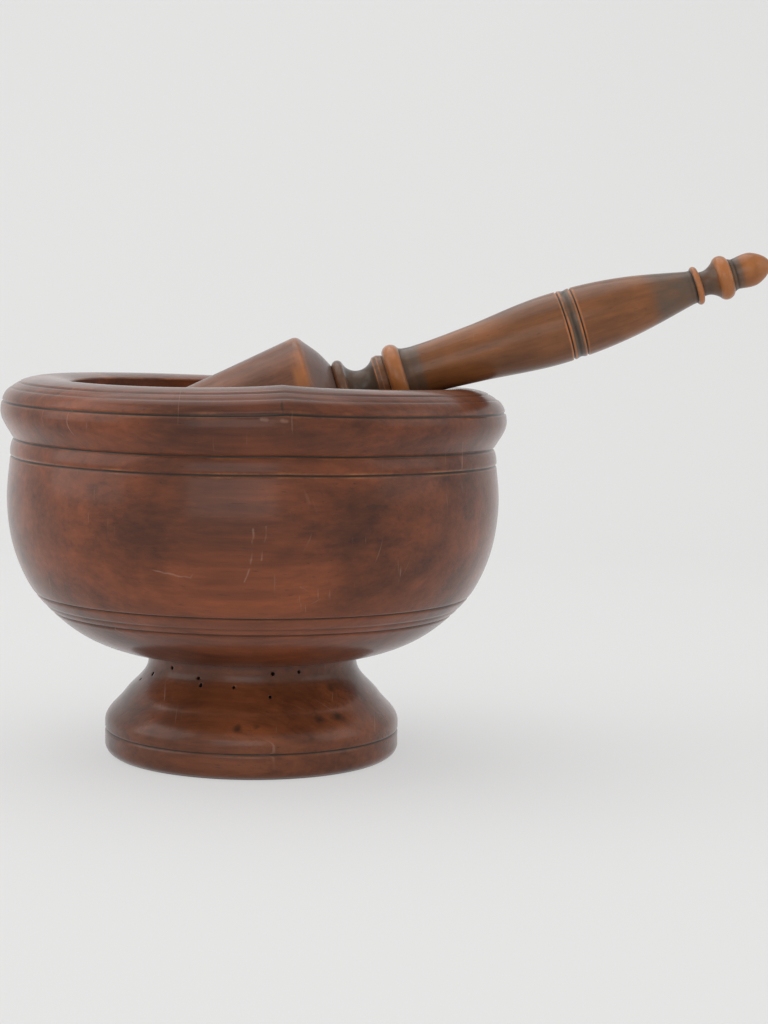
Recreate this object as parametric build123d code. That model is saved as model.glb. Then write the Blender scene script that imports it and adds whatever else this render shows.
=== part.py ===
"""Turned wooden mortar on a foot, with a turned two-piece pestle leaning in it.

Millimetres, +Z up.  The origin is the centre of the foot's underside.  The mortar is a
surface of revolution about Z, and the pestle leans in the XZ plane, handle towards +X.
"""
from build123d import *
from math import cos, radians, sin, sqrt
import os

# ---------------------------------------------------------------- foot
FOOT_HEIGHT = 44.8
FOOT_EDGE_RADIUS = 58.0
FOOT_BASE_RADIUS = 63.6
FOOT_BEAD_HEIGHT = 11.0
FOOT_WALL_TOP = 14.5
FOOT_ROUNDING = 4.6
NECK_RADIUS = 45.2
NECK_WAIST_DROP = 4.0
TENON_RADIUS = 23.0
TENON_LENGTH = 11.5

# ---------------------------------------------------------------- bowl
MORTAR_HEIGHT = 160.0
BELLY_RADIUS = 105.2
BELLY_HEIGHT = 109.5
UNDERSIDE_RADIUS = 54.5
UNDERSIDE_RISE = 1.2
CAVITY_RADIUS = 79.5
CAVITY_CENTRE_DROP = 15.0
CROWN_RADIUS = 26.0
CROWN_MIDDLE = 90.0
CROWN_EDGE = 99.5
RIM_RADIUS = 108.0
RIM_MIDDLE_DROP = 14.0
RIM_BOTTOM_DROP = 25.5
RIM_ROOT_RADIUS = 102.6
BAND_RADIUS = 103.9
BAND_GROOVE_DROP = 32.6
SHOULDER_GROOVE_DROP = 10.0
UPPER_LINE_DROP = 89.2
LOWER_LINE_DROP = 97.2

# ---------------------------------------------------------------- turned lines
LINE_WIDTH = 1.4
LINE_DEPTH = 0.9

# ---------------------------------------------------------------- pestle head
HEAD_LENGTH = 117.0
HEAD_RADIUS = 29.5
HEAD_SHOULDER_LENGTH = 10.5
HEAD_SHOULDER_ROUNDING = 2.2
HEAD_NECK_RADIUS = 13.0
NOSE_RADIUS = 17.0
HANDLE_TENON_RADIUS = 7.0
HANDLE_TENON_LENGTH = 34.0

# ---------------------------------------------------------------- pestle handle
HANDLE_LENGTH = 192.5
COLLAR_RADIUS = 14.4
COLLAR_AT = 4.0
COVE_RADIUS = 7.8
COVE_AT = 10.2
FILLET_RADIUS = 11.7
FILLET_AT = 18.4
FILLET_WIDTH = 2.0
BEAD_RADIUS = 14.4
BEAD_AT = 26.0
BEAD_WIDTH = 8.0
WAIST_RADIUS = 11.0
WAIST_AT = 37.0
GRIP_RADIUS = 15.3
GRIP_AT = 96.0
BAND_WIDTH = 6.6
BAND_DEPTH = 0.7
BAND_AT = 104.0
WRIST_RADIUS = 7.3
WRIST_AT = 156.5
RING_RADIUS = 8.4
RING_AT = 159.6
RING_WIDTH = 2.4
FINIAL_COVE_RADIUS = 5.3
FINIAL_COVE_AT = 163.4
FINIAL_BEAD_RADIUS = 9.6
FINIAL_BEAD_AT = 171.6
FINIAL_BEAD_WIDTH = 6.4
FINIAL_GROOVE_RADIUS = 6.6
FINIAL_GROOVE_AT = 176.6
KNOB_RADIUS = 6.9
KNOB_AT = 185.6

# ---------------------------------------------------------------- fits and seating
GLUE_CLEARANCE = 0.15
SOCKET_END_GAP = 0.6
SEAT_GAP = 0.3
PESTLE_LEAN = 17.9

CAVITY_CENTRE = MORTAR_HEIGHT - CAVITY_CENTRE_DROP
CROWN_CENTRE = MORTAR_HEIGHT - CROWN_RADIUS


def crown_height(radius):
    """Height of the rounded rim top at a distance from the mortar's axis."""
    return CROWN_CENTRE + sqrt(CROWN_RADIUS ** 2 - (radius - CROWN_MIDDLE) ** 2)


def turned(profile_face):
    """A solid turned about Z from a closed outline drawn in XZ."""
    return revolve(profile_face, Axis.Z)


def line_cutter(radius, height, depth=LINE_DEPTH, width=LINE_WIDTH):
    """A V-shaped ring that cuts one turned line into a wall of this radius."""
    with BuildPart() as cutter:
        with BuildSketch(Plane.XZ):
            with BuildLine():
                Polyline(
                    (radius - depth, height),
                    (radius + depth, height + width),
                    (radius + depth, height - width),
                    close=True,
                )
            make_face()
        revolve(axis=Axis.Z)
    return cutter.part


def mortar_foot():
    """Foot block: bead, flare, neck and the round tenon that is glued into the bowl."""
    waist = FOOT_HEIGHT - NECK_WAIST_DROP
    with BuildPart() as foot:
        with BuildSketch(Plane.XZ):
            with BuildLine():
                base = Line((0, 0), (FOOT_EDGE_RADIUS, 0))
                toe = ThreePointArc(
                    base @ 1,
                    (FOOT_BASE_RADIUS - 1.2, FOOT_ROUNDING * 0.42),
                    (FOOT_BASE_RADIUS, FOOT_ROUNDING),
                )
                wall = Line(toe @ 1, (FOOT_BASE_RADIUS, FOOT_WALL_TOP))
                flare = Spline(
                    [wall @ 1, ((FOOT_BASE_RADIUS + NECK_RADIUS) / 2 + 1.0, 26.4), (NECK_RADIUS, waist)],
                    tangents=[(0, 1), (0, 1)],
                )
                neck = Line(flare @ 1, (NECK_RADIUS, FOOT_HEIGHT))
                step = Line(neck @ 1, (TENON_RADIUS, FOOT_HEIGHT))
                side = Line(step @ 1, (TENON_RADIUS, FOOT_HEIGHT + TENON_LENGTH))
                Polyline(side @ 1, (0, FOOT_HEIGHT + TENON_LENGTH), (0, 0))
            make_face()
        revolve(axis=Axis.Z)
    return foot.part - line_cutter(FOOT_BASE_RADIUS, FOOT_BEAD_HEIGHT)


def mortar_bowl():
    """Bowl block: belly, moulded rim, round-bottomed cavity and the foot's socket."""
    rim_middle = MORTAR_HEIGHT - RIM_MIDDLE_DROP
    rim_bottom = MORTAR_HEIGHT - RIM_BOTTOM_DROP
    band = MORTAR_HEIGHT - BAND_GROOVE_DROP
    lip = crown_height(CAVITY_RADIUS)
    with BuildPart() as bowl:
        with BuildSketch(Plane.XZ):
            with BuildLine():
                seat = Line((0, FOOT_HEIGHT), (NECK_RADIUS + 1.0, FOOT_HEIGHT))
                belly = Spline(
                    [
                        seat @ 1,
                        (UNDERSIDE_RADIUS, FOOT_HEIGHT + UNDERSIDE_RISE),
                        (BELLY_RADIUS * 0.70, FOOT_HEIGHT + (BELLY_HEIGHT - FOOT_HEIGHT) * 0.130),
                        (BELLY_RADIUS * 0.83, FOOT_HEIGHT + (BELLY_HEIGHT - FOOT_HEIGHT) * 0.298),
                        (BELLY_RADIUS * 0.89, FOOT_HEIGHT + (BELLY_HEIGHT - FOOT_HEIGHT) * 0.408),
                        (BELLY_RADIUS * 0.957, FOOT_HEIGHT + (BELLY_HEIGHT - FOOT_HEIGHT) * 0.615),
                        (BELLY_RADIUS, BELLY_HEIGHT),
                    ],
                    tangents=[(1, 0.02), (0, 1)],
                )
                shoulder = Spline(
                    [belly @ 1, (BAND_RADIUS, band)], tangents=[(0, 1), (-0.1, 1)]
                )
                band_wall = ThreePointArc(
                    shoulder @ 1,
                    ((BAND_RADIUS + RIM_ROOT_RADIUS) / 2 + 0.5, (band + rim_bottom) / 2),
                    (RIM_ROOT_RADIUS, rim_bottom),
                )
                torus = Spline(
                    [
                        band_wall @ 1,
                        (RIM_RADIUS, rim_middle),
                        (RIM_RADIUS - 2.2, rim_middle + 7.6),
                        (CROWN_EDGE, crown_height(CROWN_EDGE)),
                    ],
                    tangents=[(0.55, 1), (-1, 0.75)],
                )
                crown = ThreePointArc(
                    torus @ 1, (CROWN_MIDDLE, MORTAR_HEIGHT), (CAVITY_RADIUS, lip)
                )
                wall = Line(crown @ 1, (CAVITY_RADIUS, CAVITY_CENTRE))
                floor = RadiusArc(wall @ 1, (0, CAVITY_CENTRE - CAVITY_RADIUS), CAVITY_RADIUS)
                Line(floor @ 1, (0, FOOT_HEIGHT))
            make_face()
        revolve(axis=Axis.Z)
        with Locations((0, 0, FOOT_HEIGHT)):
            Cylinder(
                TENON_RADIUS + GLUE_CLEARANCE,
                TENON_LENGTH + SOCKET_END_GAP,
                align=(Align.CENTER, Align.CENTER, Align.MIN),
                mode=Mode.SUBTRACT,
            )
    solid = bowl.part
    for radius, drop in (
        (RIM_RADIUS - 1.0, SHOULDER_GROOVE_DROP),
        (BAND_RADIUS, BAND_GROOVE_DROP),
        (BELLY_RADIUS * 0.886, UPPER_LINE_DROP),
        (BELLY_RADIUS * 0.822, LOWER_LINE_DROP),
    ):
        solid -= line_cutter(radius, MORTAR_HEIGHT - drop)
    return solid


def grip_outline():
    """Lower half of the handle's swelling grip, as a curve along X with its radius in Y."""
    return Spline(
        [(WAIST_AT, WAIST_RADIUS), (GRIP_AT, GRIP_RADIUS), (WRIST_AT, WRIST_RADIUS)],
        tangents=[(1, 0.0), (1, 0), (1, -0.22)],
    )


def pestle_head():
    """Head: round nose, gentle taper up to a shoulder, and the handle's socket at x = 0."""
    nose_centre = NOSE_RADIUS - HEAD_LENGTH
    taper = (HEAD_RADIUS - NOSE_RADIUS) / (-HEAD_SHOULDER_LENGTH - nose_centre)
    tangent_x = nose_centre - NOSE_RADIUS * taper
    tangent_y = NOSE_RADIUS * sqrt(1 - taper ** 2)
    with BuildPart() as head:
        with BuildSketch(Plane.XY):
            with BuildLine():
                nose = RadiusArc((-HEAD_LENGTH, 0), (tangent_x, tangent_y), NOSE_RADIUS)
                side = Line(nose @ 1, (-HEAD_SHOULDER_LENGTH, HEAD_RADIUS))
                slope = Line(side @ 1, (0, HEAD_NECK_RADIUS))
                Polyline(slope @ 1, (0, 0), (-HEAD_LENGTH, 0))
            face = make_face()
            edge_corner = face.vertices().sort_by(Axis.Y)[-1]
            fillet(edge_corner, HEAD_SHOULDER_ROUNDING)
        revolve(axis=Axis.X)
        with Locations(Location((0, 0, 0), (0, -90, 0))):
            Cylinder(
                HANDLE_TENON_RADIUS + GLUE_CLEARANCE,
                HANDLE_TENON_LENGTH + SOCKET_END_GAP,
                align=(Align.CENTER, Align.CENTER, Align.MIN),
                mode=Mode.SUBTRACT,
            )
    return head.part


def pestle_handle():
    """Handle: tenon, collar, cove, bead, swelling grip with its band, and the finial."""
    with BuildPart() as handle:
        with BuildSketch(Plane.XY):
            with BuildLine():
                tenon = Polyline(
                    (-HANDLE_TENON_LENGTH, 0),
                    (-HANDLE_TENON_LENGTH, HANDLE_TENON_RADIUS),
                    (0, HANDLE_TENON_RADIUS),
                    (0, HEAD_NECK_RADIUS - 0.6),
                )
                collar = ThreePointArc(
                    tenon @ 1, (COLLAR_AT - 0.6, COLLAR_RADIUS), (COLLAR_AT + 0.8, COLLAR_RADIUS - 1.6)
                )
                fillet_start = FILLET_AT - FILLET_WIDTH / 2
                cove = ThreePointArc(
                    collar @ 1, (COVE_AT, COVE_RADIUS), (fillet_start, FILLET_RADIUS - 0.5)
                )
                ring = Line(cove @ 1, (FILLET_AT + FILLET_WIDTH / 2, FILLET_RADIUS))
                drop = Line(ring @ 1, (BEAD_AT - BEAD_WIDTH / 2, FILLET_RADIUS - 0.7))
                bead = ThreePointArc(
                    drop @ 1, (BEAD_AT, BEAD_RADIUS), (BEAD_AT + BEAD_WIDTH / 2, WAIST_RADIUS - 0.4)
                )
                heel = Line(bead @ 1, (BEAD_AT + BEAD_WIDTH / 2 + 1.2, WAIST_RADIUS))
                Line(heel @ 1, (WAIST_AT, WAIST_RADIUS))
                add(grip_outline())
                rise = Line((WRIST_AT, WRIST_RADIUS), (RING_AT - RING_WIDTH / 2, WRIST_RADIUS - 0.2))
                ring_top = ThreePointArc(
                    rise @ 1, (RING_AT, RING_RADIUS), (RING_AT + RING_WIDTH / 2, FINIAL_COVE_RADIUS + 0.6)
                )
                low = Spline(
                    [
                        ring_top @ 1,
                        (FINIAL_COVE_AT, FINIAL_COVE_RADIUS),
                        (FINIAL_BEAD_AT - FINIAL_BEAD_WIDTH / 2, FINIAL_BEAD_RADIUS - 1.8),
                    ],
                    tangents=[(1, -0.8), (1, 0.9)],
                )
                knob_bead = ThreePointArc(
                    low @ 1,
                    (FINIAL_BEAD_AT, FINIAL_BEAD_RADIUS),
                    (FINIAL_BEAD_AT + FINIAL_BEAD_WIDTH / 2, FINIAL_GROOVE_RADIUS + 0.8),
                )
                groove = Line(knob_bead @ 1, (FINIAL_GROOVE_AT, FINIAL_GROOVE_RADIUS))
                Spline(
                    [groove @ 1, (KNOB_AT, KNOB_RADIUS), (HANDLE_LENGTH, 0)],
                    tangents=[(1, 0.1), (0, -1)],
                )
                Line((HANDLE_LENGTH, 0), (-HANDLE_TENON_LENGTH, 0))
            make_face()
        revolve(axis=Axis.X)
    solid = handle.part
    band = Rot(0, 90, 0) * (Cylinder(GRIP_RADIUS * 2, BAND_WIDTH) - Cylinder(GRIP_RADIUS - BAND_DEPTH, BAND_WIDTH))
    return solid - Pos(BAND_AT, 0, 0) * band


def leaning_place():
    """Where the pestle lies: its nose in the cavity and its grip on the rim, one gap from each."""
    lean = radians(PESTLE_LEAN)
    nose_reach = CAVITY_RADIUS - NOSE_RADIUS - SEAT_GAP
    nose_to_joint = HEAD_LENGTH - NOSE_RADIUS
    outline = grip_outline()
    samples = [outline @ (step / 80) for step in range(81)]

    def joint_at(drop_angle):
        nose_x = -nose_reach * cos(drop_angle)
        nose_z = CAVITY_CENTRE - nose_reach * sin(drop_angle)
        return nose_x + nose_to_joint * cos(lean), nose_z + nose_to_joint * sin(lean)

    def rim_gap(drop_angle):
        x, z = joint_at(drop_angle)
        gaps = []
        for point in samples:
            px = x + point.X * cos(lean) + point.Y * sin(lean)
            pz = z + point.X * sin(lean) - point.Y * cos(lean)
            gaps.append(sqrt((px - CROWN_MIDDLE) ** 2 + (pz - CROWN_CENTRE) ** 2) - CROWN_RADIUS)
        return min(gaps)

    high, low = radians(-10), radians(60)
    for _ in range(40):
        middle = (high + low) / 2
        if rim_gap(middle) > SEAT_GAP:
            high = middle
        else:
            low = middle
    x, z = joint_at(high)
    return Location((x, 0, z), (0, -PESTLE_LEAN, 0))


place = leaning_place()
nodes = {
    "mortar_bowl": mortar_bowl(),
    "mortar_foot": mortar_foot(),
    "pestle_head": place * pestle_head(),
    "pestle_handle": place * pestle_handle(),
}
os.makedirs("parts", exist_ok=True)
for name, solid in nodes.items():
    export_step(solid, f"parts/{name}.step")
    box = solid.bounding_box()
    print(name, "box", box.min, box.max)
print("pestle place", place)
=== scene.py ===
"""The looks of a turned wooden mortar and pestle, built around its construction frame."""
from math import atan2, cos, exp, pi, radians, sin, sqrt

import bmesh
import bpy
from bpy.props import FloatProperty, FloatVectorProperty, IntProperty, PointerProperty
from bpy.types import Operator, Panel, PropertyGroup
from mathutils import Matrix, Vector, noise


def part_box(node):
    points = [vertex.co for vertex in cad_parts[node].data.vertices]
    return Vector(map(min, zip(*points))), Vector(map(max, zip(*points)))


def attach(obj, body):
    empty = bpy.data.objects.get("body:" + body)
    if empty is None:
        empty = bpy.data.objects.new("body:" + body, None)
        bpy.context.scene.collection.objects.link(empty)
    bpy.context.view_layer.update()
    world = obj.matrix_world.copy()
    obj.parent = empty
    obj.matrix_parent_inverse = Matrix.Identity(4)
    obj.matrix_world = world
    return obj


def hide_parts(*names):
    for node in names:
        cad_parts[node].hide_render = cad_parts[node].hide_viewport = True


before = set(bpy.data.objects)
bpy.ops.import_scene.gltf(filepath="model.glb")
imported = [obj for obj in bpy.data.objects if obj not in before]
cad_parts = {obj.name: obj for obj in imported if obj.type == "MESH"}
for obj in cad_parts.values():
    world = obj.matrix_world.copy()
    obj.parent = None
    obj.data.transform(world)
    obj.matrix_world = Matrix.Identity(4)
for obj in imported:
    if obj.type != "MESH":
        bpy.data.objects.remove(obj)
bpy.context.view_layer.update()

bl_info = {
    "name": "Turned mortar and pestle",
    "version": (1, 0, 0),
    "blender": (4, 5, 0),
    "location": "View3D > Sidebar > Mortar",
    "description": "Builds a turned wooden mortar and pestle with its finishes, stage and camera",
    "category": "Object",
}

BOWL_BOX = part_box("mortar_bowl")
FOOT_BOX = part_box("mortar_foot")
HANDLE_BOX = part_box("pestle_handle")
TOP = BOWL_BOX[1].z
SEAT = BOWL_BOX[0].z
RIM = BOWL_BOX[1].x
MM = 0.001
PESTLE_LEAN = radians(17.9)
GLUE_CLEARANCE = 0.15 * MM
SOCKET_END_GAP = 0.6 * MM
CROWN_INSET = 18 * MM
FLOAT, VECTOR, COLOR = "NodeSocketFloat", "NodeSocketVector", "NodeSocketColor"


# ------------------------------------------------------------------ settings
class MortarSizes(PropertyGroup):
    around: IntProperty(
        name="Facets round the bowl", description="How many facets the bowl has",
        default=320, min=48,
    )
    foot_around: IntProperty(
        name="Facets round the foot", description="How many facets the foot has",
        default=256, min=48,
    )
    cavity_radius: FloatProperty(
        name="Cavity radius", description="Radius of the round-bottomed hollow",
        default=79.5 * MM, unit="LENGTH",
    )
    cavity_drop: FloatProperty(
        name="Cavity centre", description="How far the hollow's centre lies under the rim",
        default=15 * MM, unit="LENGTH",
    )
    crown_radius: FloatProperty(
        name="Rim crown", description="Radius of the rounded top of the rim",
        default=26 * MM, unit="LENGTH",
    )
    tenon_radius: FloatProperty(
        name="Tenon radius", description="Radius of the foot's tenon",
        default=23 * MM, unit="LENGTH",
    )
    tenon_length: FloatProperty(
        name="Tenon length", description="How far the foot's tenon reaches into the bowl",
        default=11.5 * MM, unit="LENGTH",
    )
    neck_radius: FloatProperty(
        name="Neck radius", description="Radius of the foot's neck under the bowl",
        default=45.2 * MM, unit="LENGTH",
    )
    belly_radius: FloatProperty(
        name="Belly radius", description="Radius of the bowl at its widest, under the rim",
        default=105.2 * MM, unit="LENGTH",
    )
    tilt_towards: FloatProperty(
        name="High side", description="Which side of the dried rim has risen",
        default=radians(155), unit="ROTATION",
    )
    saddle_towards: FloatProperty(
        name="Saddle's high line", description="Which way the rim's saddle is bent up",
        default=radians(150), unit="ROTATION",
    )
    peak_at: FloatProperty(
        name="Peak's place", description="Which side of the rim has the crack and its raised grain",
        default=radians(-79.7), unit="ROTATION",
    )
    hole_radius: FloatProperty(
        name="Beetle hole", description="Radius of the beetle holes in the foot",
        default=0.72 * MM, unit="LENGTH",
    )
    tilt: FloatProperty(
        name="Rim warp", description="How far the dried rim has risen on its high side",
        default=1.6 * MM, unit="LENGTH",
    )
    saddle: FloatProperty(
        name="Rim saddle", description="How far the dried rim is bent to a saddle",
        default=0.7 * MM, unit="LENGTH",
    )
    peak: FloatProperty(
        name="Rim peak", description="Height of the raised grain beside the rim's crack",
        default=2.3 * MM, unit="LENGTH",
    )


class PestleSizes(PropertyGroup):
    around: IntProperty(
        name="Facets round the pestle", description="How many facets a turned piece of the pestle has",
        default=144, min=32,
    )
    head_length: FloatProperty(
        name="Head length", description="From the nose to the handle's joint",
        default=117 * MM, unit="LENGTH",
    )
    head_radius: FloatProperty(
        name="Head radius", description="Radius at the head's shoulder",
        default=29.5 * MM, unit="LENGTH",
    )
    nose_radius: FloatProperty(
        name="Nose radius", description="Radius of the round grinding end",
        default=17 * MM, unit="LENGTH",
    )
    shoulder_length: FloatProperty(
        name="Shoulder length", description="From the head's widest ring to the handle's joint",
        default=10.5 * MM, unit="LENGTH",
    )
    tenon_radius: FloatProperty(
        name="Tenon radius", description="Radius of the handle's tenon",
        default=7 * MM, unit="LENGTH",
    )
    tenon_length: FloatProperty(
        name="Tenon length", description="Length of the handle's tenon",
        default=34 * MM, unit="LENGTH",
    )
    grip_radius: FloatProperty(
        name="Grip radius", description="Radius of the handle's swell",
        default=15.3 * MM, unit="LENGTH",
    )


class FinishSettings(PropertyGroup):
    bowl_dark: FloatVectorProperty(
        name="Bowl, dark grain", description="Stain colour in the bowl's dark grain",
        subtype="COLOR", default=(0.062, 0.0170, 0.0070), min=0, max=1,
    )
    bowl_light: FloatVectorProperty(
        name="Bowl, light grain", description="Stain colour in the bowl's light grain",
        subtype="COLOR", default=(0.215, 0.0560, 0.0190), min=0, max=1,
    )
    foot_dark: FloatVectorProperty(
        name="Foot, dark grain", description="Stain colour in the foot's dark grain",
        subtype="COLOR", default=(0.046, 0.0140, 0.0070), min=0, max=1,
    )
    foot_light: FloatVectorProperty(
        name="Foot, light grain", description="Stain colour in the foot's light grain",
        subtype="COLOR", default=(0.205, 0.0620, 0.0240), min=0, max=1,
    )
    head_dark: FloatVectorProperty(
        name="Head, dark grain", description="Wood colour in the head's dark grain",
        subtype="COLOR", default=(0.095, 0.0350, 0.0170), min=0, max=1,
    )
    head_light: FloatVectorProperty(
        name="Head, light grain", description="Wood colour in the head's light grain",
        subtype="COLOR", default=(0.285, 0.1080, 0.0540), min=0, max=1,
    )
    handle_dark: FloatVectorProperty(
        name="Handle, dark grain", description="Wood colour in the handle's dark grain",
        subtype="COLOR", default=(0.066, 0.0260, 0.0120), min=0, max=1,
    )
    handle_light: FloatVectorProperty(
        name="Handle, light grain", description="Wood colour in the handle's light grain",
        subtype="COLOR", default=(0.245, 0.0910, 0.0320), min=0, max=1,
    )
    worn: FloatVectorProperty(
        name="Worn arrises", description="Colour where handling has rubbed the stain away",
        subtype="COLOR", default=(0.420, 0.150, 0.050), min=0, max=1,
    )
    grime: FloatVectorProperty(
        name="Grime", description="Colour of old wax and dirt in the hollows",
        subtype="COLOR", default=(0.016, 0.0130, 0.0085), min=0, max=1,
    )
    polish: FloatVectorProperty(
        name="Polished beads", description="Bare, polished wood on the handle's beads and knob",
        subtype="COLOR", default=(0.330, 0.120, 0.035), min=0, max=1,
    )
    verdigris: FloatVectorProperty(
        name="Dull coves", description="Grey-green film in the handle's coves and band",
        subtype="COLOR", default=(0.075, 0.0680, 0.0550), min=0, max=1,
    )
    # painted sheen: the pale lavender reflection of the bright room on the head's sloping shoulder, painted
    # into its colour
    painted_sheen: FloatVectorProperty(
        name="Bloom", description="Pale lavender bloom on the head's sloping shoulder",
        subtype="COLOR", default=(0.130, 0.1050, 0.1050), min=0, max=1,
    )


# ------------------------------------------------------------------ turned outlines
class Outline:
    """A turned piece's outline: points (place along the axis, radius), from one pole to the other."""

    def __init__(self, start, step):
        self.points = [Vector(start)]
        self.step = step

    def _sample(self, at, length):
        """Adds the points at(0 to 1) of a stretch of this length, after its first."""
        count = max(2, int(length / self.step + 0.5))
        for index in range(1, count + 1):
            self.points.append(at(index / count))

    def line(self, *corners):
        """Straight lines from the last point through the corners."""
        for corner in corners:
            start, end = self.points[-1], Vector(corner)
            self._sample(lambda t, a=start, b=end: a.lerp(b, t), (end - start).length)

    def arc(self, middle, end):
        """An arc from the last point through middle to end."""
        a, b, c = self.points[-1].copy(), Vector(middle), Vector(end)
        d = 2 * (a.x * (b.y - c.y) + b.x * (c.y - a.y) + c.x * (a.y - b.y))
        ux = (a.dot(a) * (b.y - c.y) + b.dot(b) * (c.y - a.y) + c.dot(c) * (a.y - b.y)) / d
        uy = (a.dot(a) * (c.x - b.x) + b.dot(b) * (a.x - c.x) + c.dot(c) * (b.x - a.x)) / d
        centre = Vector((ux, uy))
        radius = (a - centre).length
        first = atan2(a.y - uy, a.x - ux)
        turns = [(atan2(p.y - uy, p.x - ux) - first) % (2 * pi) for p in (b, c)]
        sweep = turns[1] if turns[0] < turns[1] else turns[1] - 2 * pi
        self._sample(
            lambda t: centre + radius * Vector((cos(first + sweep * t), sin(first + sweep * t))),
            abs(sweep) * radius,
        )

    def curve(self, *through, start=None, end=None):
        """A smooth curve from the last point through the given ones, with optional end directions."""
        knots = [self.points[-1].copy()] + [Vector(p) for p in through]
        chords = [(b - a).length for a, b in zip(knots, knots[1:])]
        slopes = []
        for index in range(len(knots)):
            if index == 0:
                slopes.append(Vector(start).normalized() if start else (knots[1] - knots[0]) / chords[0])
            elif index == len(knots) - 1:
                slopes.append(Vector(end).normalized() if end else (knots[-1] - knots[-2]) / chords[-1])
            else:
                before, after = chords[index - 1], chords[index]
                left = (knots[index] - knots[index - 1]) / before
                right = (knots[index + 1] - knots[index]) / after
                slopes.append((left * after + right * before) / (before + after))
        for index, chord in enumerate(chords):
            a, b = knots[index], knots[index + 1]
            m, n = slopes[index] * chord, slopes[index + 1] * chord
            self._sample(
                lambda t, a=a, b=b, m=m, n=n: a * (2 * t**3 - 3 * t**2 + 1) + m * (t**3 - 2 * t**2 + t)
                + b * (3 * t**2 - 2 * t**3) + n * (t**3 - t**2),
                chord,
            )

    def coarse(self, step):
        """Sets how far apart the points after this one lie."""
        self.step = step

    def cut(self, where, depth, width):
        """A round-bottomed turned line, cut square to the outline at the point nearest to where."""
        target = Vector(where)
        middle = min(range(len(self.points)), key=lambda i: (self.points[i] - target).length)
        normals = outline_normals(self.points)
        for direction in (1, -1):
            index, run = middle, 0.0
            while 0 < index < len(self.points) - 1 and run < width:
                share = 0.5 + 0.5 * cos(pi * run / width)
                if direction == 1 or index != middle:
                    self.points[index] = self.points[index] - normals[index] * depth * share
                following = index + direction
                run += (self.points[following] - self.points[index]).length
                index = following


def outline_normals(points):
    """Outward directions of an outline that runs with its solid on the right of travel."""
    normals = []
    for index in range(len(points)):
        before = points[max(index - 1, 0)]
        after = points[min(index + 1, len(points) - 1)]
        run = (after - before).normalized()
        normals.append(Vector((-run.y, run.x)))
    return normals


def hollow_and_worn(points, reach):
    """How far each outline point lies in a hollow (0 to 1) or stands out on an arris (0 to 1)."""
    lengths = [0.0]
    for a, b in zip(points, points[1:]):
        lengths.append(lengths[-1] + (b - a).length)
    normals = outline_normals(points)
    gain = 5.0
    hollow, worn = [], []
    for index, point in enumerate(points):
        total, weight = Vector((0, 0)), 0.0
        for direction in (1, -1):
            other = index
            while 0 <= other < len(points) and abs(lengths[other] - lengths[index]) < reach:
                total += points[other]
                weight += 1
                other += direction
        offset = (total / weight - point).dot(normals[index]) / reach
        hollow.append(min(max(offset * gain, 0), 1))
        worn.append(min(max(-offset * gain, 0), 1))
    return hollow, worn


def turn(name, outline, around, place=Matrix.Identity(4), shape=None, reach=2.2 * MM):
    """A turned mesh about the axis, X of the outline along it, with hollow and worn marks."""
    points = outline.points
    hollow, worn = hollow_and_worn(points, reach)
    mesh = bpy.data.meshes.new(name)
    body = bmesh.new()
    marks = [body.verts.layers.float.new(mark) for mark in ("hollow", "worn", "along")]
    rings = []
    for index, point in enumerate(points):
        pole = index in (0, len(points) - 1)
        ring = []
        for step in range(1 if pole else around):
            angle = 2 * pi * step / around
            along, radius = point.x, 0.0 if pole else point.y
            if shape:
                along, radius = shape(along, radius, angle)
            vertex = body.verts.new(place @ Vector((along, -radius * sin(angle), radius * cos(angle))))
            for mark, value in zip(marks, (hollow[index], worn[index], point.x)):
                vertex[mark] = value
            ring.append(vertex)
        rings.append(ring)
    for lower, upper in zip(rings, rings[1:]):
        for step in range(around):
            after = (step + 1) % around
            corners = [
                lower[step % len(lower)], lower[after % len(lower)],
                upper[after % len(upper)], upper[step % len(upper)],
            ]
            # at a pole two corners are one point
            body.faces.new(list(dict.fromkeys(corners)))
    bmesh.ops.recalc_face_normals(body, faces=body.faces)
    body.to_mesh(mesh)
    body.free()
    mesh.shade_smooth()
    piece = bpy.data.objects.new(name, mesh)
    bpy.context.scene.collection.objects.link(piece)
    return piece


# axis X of an outline stands up along Z, with angle 0 towards +X and 90 degrees towards +Y
UPRIGHT = Matrix(((0, 0, 1, 0), (0, -1, 0, 0), (1, 0, 0, 0), (0, 0, 0, 1)))


def crown_height(sizes, radius):
    """Height of the rounded rim top at a distance from the axis."""
    middle = RIM - CROWN_INSET
    return TOP - sizes.crown_radius + sqrt(sizes.crown_radius**2 - (radius - middle) ** 2)


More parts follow.
